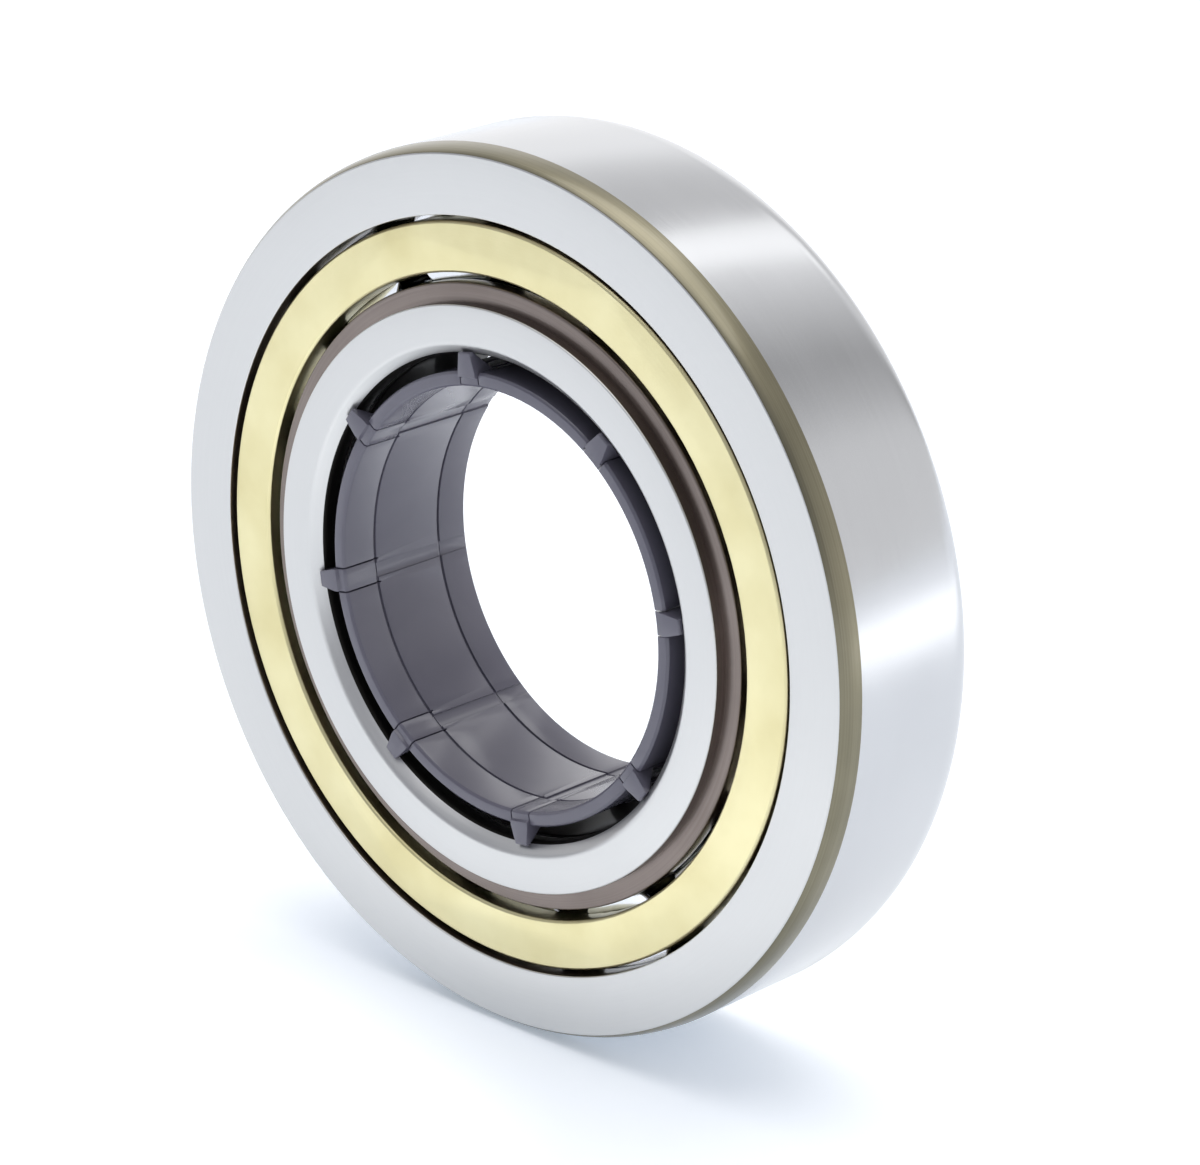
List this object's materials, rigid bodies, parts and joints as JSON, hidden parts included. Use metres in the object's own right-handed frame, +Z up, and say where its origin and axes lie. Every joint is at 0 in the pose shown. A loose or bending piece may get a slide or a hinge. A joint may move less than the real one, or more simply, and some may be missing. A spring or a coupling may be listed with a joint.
{
  "type": "cylindrical roller bearing",
  "caption": "Cylindrical roller bearing with ribs on both rings, one a loose side ring, a riveted solid brass cage, and a plastic retaining sleeve in its bore.",
  "frame": {"origin": "on the bearing's axis, at the middle of the outer ring's width", "axes": "Y along the bearing's axis with the front, the side of the loose rib, towards -Y; +Z up"},
  "size_m": [0.11, 0.0226, 0.11],
  "materials": {
    "ring_steel": "ground",
    "roller_steel": "superfinished",
    "cage_brass": "turned",
    "sleeve_plastic": "moulded"
  },
  "bodies": {
    "outer": {"outer_ring": "ring_steel"},
    "inner": {"inner_ring": "ring_steel"},
    "rib": {"loose_rib": "ring_steel"},
    "sleeve": {"retaining_sleeve": "sleeve_plastic"},
    "cage": {"cage_body": "cage_brass", "cage_cover": "cage_brass"},
    "roller_01": {"roller_01": "roller_steel"},
    "roller_02": {"roller_02": "roller_steel"},
    "roller_03": {"roller_03": "roller_steel"},
    "roller_04": {"roller_04": "roller_steel"},
    "roller_05": {"roller_05": "roller_steel"},
    "roller_06": {"roller_06": "roller_steel"},
    "roller_07": {"roller_07": "roller_steel"},
    "roller_08": {"roller_08": "roller_steel"},
    "roller_09": {"roller_09": "roller_steel"},
    "roller_10": {"roller_10": "roller_steel"},
    "roller_11": {"roller_11": "roller_steel"},
    "roller_12": {"roller_12": "roller_steel"},
    "roller_13": {"roller_13": "roller_steel"},
    "roller_14": {"roller_14": "roller_steel"},
    "roller_15": {"roller_15": "roller_steel"}
  },
  "joints": [
    {"name": "inner_spin", "type": "hinge", "parent": "outer", "child": "inner", "pos_m": [0, 0, 0], "axis": [0, 1, 0], "continuous": true},
    {"name": "rib_slide", "type": "slide", "parent": "inner", "child": "rib", "axis": [0, -1, 0], "range_m": [-0.0006, 0.025]},
    {"name": "sleeve_slide", "type": "slide", "parent": "rib", "child": "sleeve", "axis": [0, -1, 0], "range_m": [0, 0.025]},
    {"name": "cage_spin", "type": "hinge", "parent": "outer", "child": "cage", "pos_m": [0, 0, 0], "axis": [0, 1, 0], "continuous": true},
    {"name": "roller_01_spin", "type": "hinge", "parent": "cage", "child": "roller_01", "pos_m": [0.04264, 0, 0.00554], "axis": [0, 1, 0], "continuous": true},
    {"name": "roller_02_spin", "type": "hinge", "parent": "cage", "child": "roller_02", "pos_m": [0.0367, 0, 0.0224], "axis": [0, 1, 0], "continuous": true},
    {"name": "roller_03_spin", "type": "hinge", "parent": "cage", "child": "roller_03", "pos_m": [0.02442, 0, 0.03539], "axis": [0, 1, 0], "continuous": true},
    {"name": "roller_04_spin", "type": "hinge", "parent": "cage", "child": "roller_04", "pos_m": [0.00791, 0, 0.04227], "axis": [0, 1, 0], "continuous": true},
    {"name": "roller_05_spin", "type": "hinge", "parent": "cage", "child": "roller_05", "pos_m": [-0.00997, 0, 0.04183], "axis": [0, 1, 0], "continuous": true},
    {"name": "roller_06_spin", "type": "hinge", "parent": "cage", "child": "roller_06", "pos_m": [-0.02612, 0, 0.03416], "axis": [0, 1, 0], "continuous": true},
    {"name": "roller_07_spin", "type": "hinge", "parent": "cage", "child": "roller_07", "pos_m": [-0.03775, 0, 0.02058], "axis": [0, 1, 0], "continuous": true},
    {"name": "roller_08_spin", "type": "hinge", "parent": "cage", "child": "roller_08", "pos_m": [-0.04286, 0, 0.00345], "axis": [0, 1, 0], "continuous": true},
    {"name": "roller_09_spin", "type": "hinge", "parent": "cage", "child": "roller_09", "pos_m": [-0.04056, 0, -0.01428], "axis": [0, 1, 0], "continuous": true},
    {"name": "roller_10_spin", "type": "hinge", "parent": "cage", "child": "roller_10", "pos_m": [-0.03124, 0, -0.02954], "axis": [0, 1, 0], "continuous": true},
    {"name": "roller_11_spin", "type": "hinge", "parent": "cage", "child": "roller_11", "pos_m": [-0.01652, 0, -0.0397], "axis": [0, 1, 0], "continuous": true},
    {"name": "roller_12_spin", "type": "hinge", "parent": "cage", "child": "roller_12", "pos_m": [0.00105, 0, -0.04299], "axis": [0, 1, 0], "continuous": true},
    {"name": "roller_13_spin", "type": "hinge", "parent": "cage", "child": "roller_13", "pos_m": [0.01844, 0, -0.03884], "axis": [0, 1, 0], "continuous": true},
    {"name": "roller_14_spin", "type": "hinge", "parent": "cage", "child": "roller_14", "pos_m": [0.03265, 0, -0.02798], "axis": [0, 1, 0], "continuous": true},
    {"name": "roller_15_spin", "type": "hinge", "parent": "cage", "child": "roller_15", "pos_m": [0.04121, 0, -0.01228], "axis": [0, 1, 0], "continuous": true}
  ],
  "couplings": [
    {"joint": "cage_spin", "follows": "inner_spin", "ratio": 0.4186},
    {"joint": "roller_01_spin", "follows": "inner_spin", "ratio": -2.99},
    {"joint": "roller_02_spin", "follows": "inner_spin", "ratio": -2.99},
    {"joint": "roller_03_spin", "follows": "inner_spin", "ratio": -2.99},
    {"joint": "roller_04_spin", "follows": "inner_spin", "ratio": -2.99},
    {"joint": "roller_05_spin", "follows": "inner_spin", "ratio": -2.99},
    {"joint": "roller_06_spin", "follows": "inner_spin", "ratio": -2.99},
    {"joint": "roller_07_spin", "follows": "inner_spin", "ratio": -2.99},
    {"joint": "roller_08_spin", "follows": "inner_spin", "ratio": -2.99},
    {"joint": "roller_09_spin", "follows": "inner_spin", "ratio": -2.99},
    {"joint": "roller_10_spin", "follows": "inner_spin", "ratio": -2.99},
    {"joint": "roller_11_spin", "follows": "inner_spin", "ratio": -2.99},
    {"joint": "roller_12_spin", "follows": "inner_spin", "ratio": -2.99},
    {"joint": "roller_13_spin", "follows": "inner_spin", "ratio": -2.99},
    {"joint": "roller_14_spin", "follows": "inner_spin", "ratio": -2.99},
    {"joint": "roller_15_spin", "follows": "inner_spin", "ratio": -2.99}
  ]
}
